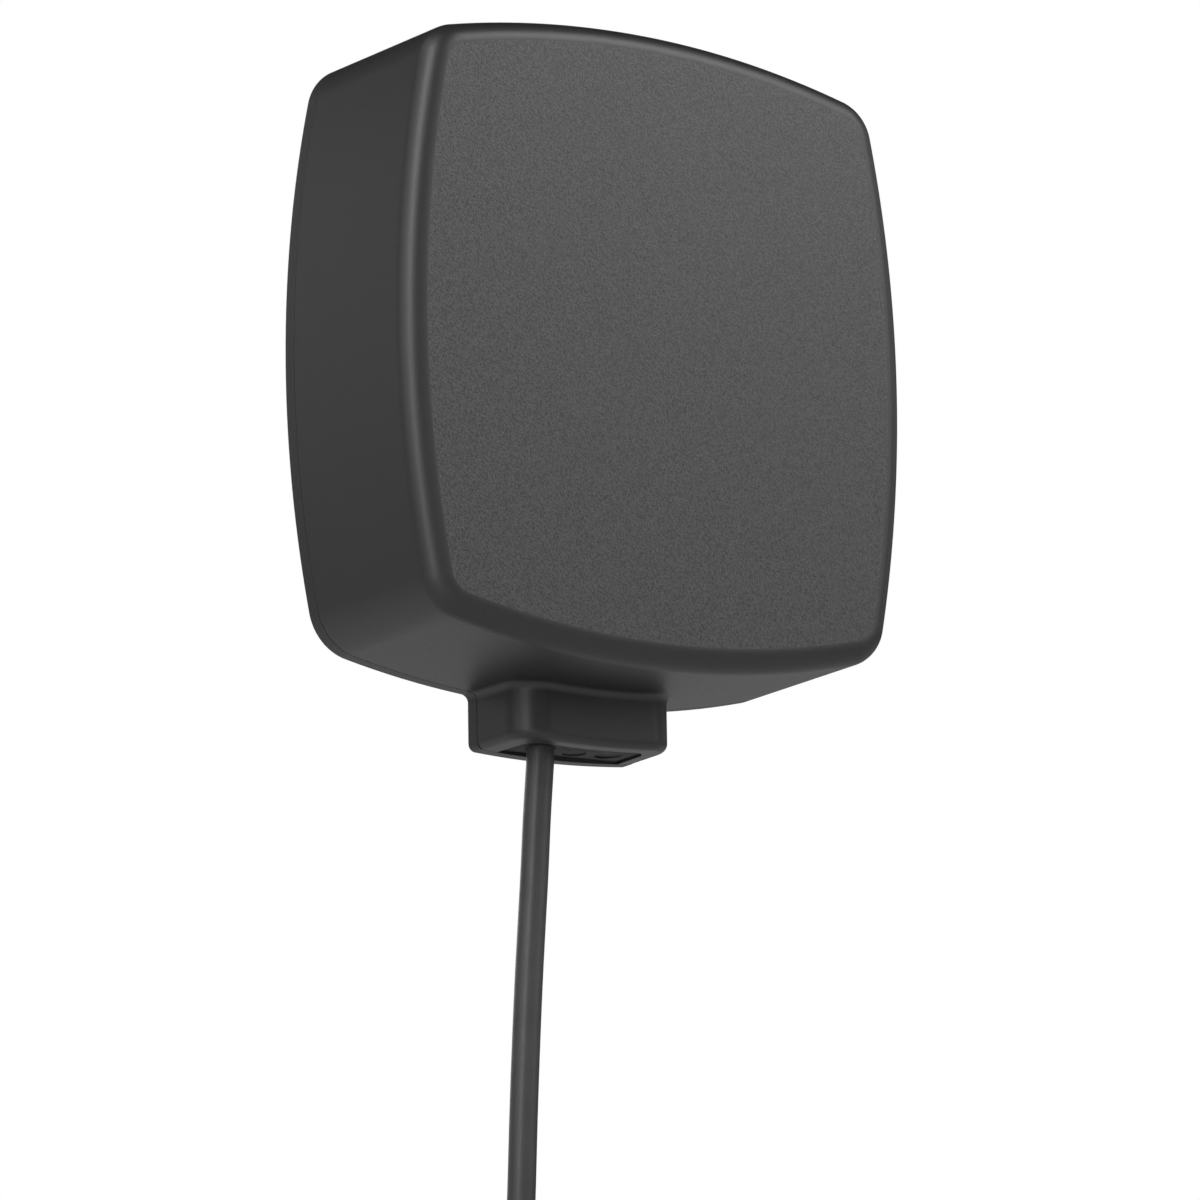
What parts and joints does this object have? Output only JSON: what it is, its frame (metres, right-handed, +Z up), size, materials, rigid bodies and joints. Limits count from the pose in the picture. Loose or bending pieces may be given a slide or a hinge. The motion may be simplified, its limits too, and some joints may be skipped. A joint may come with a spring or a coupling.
{
  "type": "gnss receiver",
  "caption": "Wall-mounted GNSS receiver: bowed square plastic housing with a bottom cable outlet, a stacked patch antenna inside and a coiled lead with a screw connector.",
  "frame": {"origin": "middle of the housing's flat back face, where it meets the wall", "axes": "+Z up, the front faces -Y, +Y into the wall, +X to the right seen from the front"},
  "size_m": [0.1045, 0.0353, 0.3464],
  "materials": {
    "cover_plastic": "fine moulded grain",
    "plate_plastic": "fine moulded grain",
    "silicone": "satin",
    "screw_steel": "satin",
    "brass": "satin",
    "membrane": "matt",
    "rubber": "matt",
    "nylon": "satin",
    "cable_jacket": "satin",
    "wire_jacket": "satin",
    "circuit_board": "satin solder mask",
    "tin_can": "satin",
    "chip_resin": "matt",
    "ferrite": "matt",
    "aluminium_can": "satin",
    "aluminium_plate": "satin",
    "ceramic": "matt fired ceramic",
    "silver_film": "matt fired silver",
    "pin_metal": "bright",
    "contact_gold": "bright plated",
    "tie_fabric": "woven",
    "overmould": "satin",
    "insert_resin": "satin",
    "nut_nickel": "bright nickel"
  },
  "bodies": {
    "receiver": {"front_cover": "cover_plastic", "back_plate": "plate_plastic", "housing_seal": "silicone", "cover_screws": "screw_steel", "bracket_inserts": "brass", "vent_membrane": "membrane", "cable_grommet": "rubber", "blanking_plugs": "rubber", "cable_clamp": "nylon", "clamp_screws": "screw_steel", "cable_inside": "cable_jacket", "conductors": "wire_jacket", "wire_plug": "nylon", "board_header": "nylon", "receiver_board": "circuit_board", "gnss_module": "tin_can", "board_shield": "tin_can", "interface_chip": "chip_resin", "oscillator": "tin_can", "power_inductor": "ferrite", "capacitors": "aluminium_can", "backup_cell": "aluminium_can", "board_standoffs": "brass", "ground_plane": "aluminium_plate", "antenna_screws": "screw_steel", "lna_board": "circuit_board", "lna_shield": "tin_can", "lower_patch": "ceramic", "lower_electrode": "silver_film", "upper_patch": "ceramic", "upper_electrode": "silver_film", "feed_pins": "pin_metal", "antenna_coax": "wire_jacket", "coax_plugs": "contact_gold", "cable_lead": "cable_jacket", "cable_coil": "cable_jacket", "cable_tail": "cable_jacket", "coil_ties": "tie_fabric", "connector_boot": "overmould", "connector_core": "insert_resin", "connector_pins": "contact_gold", "nut_snap_ring": "screw_steel"},
    "nut": {"coupling_nut": "nut_nickel", "nut_seal": "silicone"}
  },
  "joints": [
    {"name": "coupling_nut_spin", "type": "hinge", "parent": "receiver", "child": "nut", "pos_m": [-0.0022, -0.015, -0.285], "axis": [0, 0, 1], "continuous": true}
  ]
}
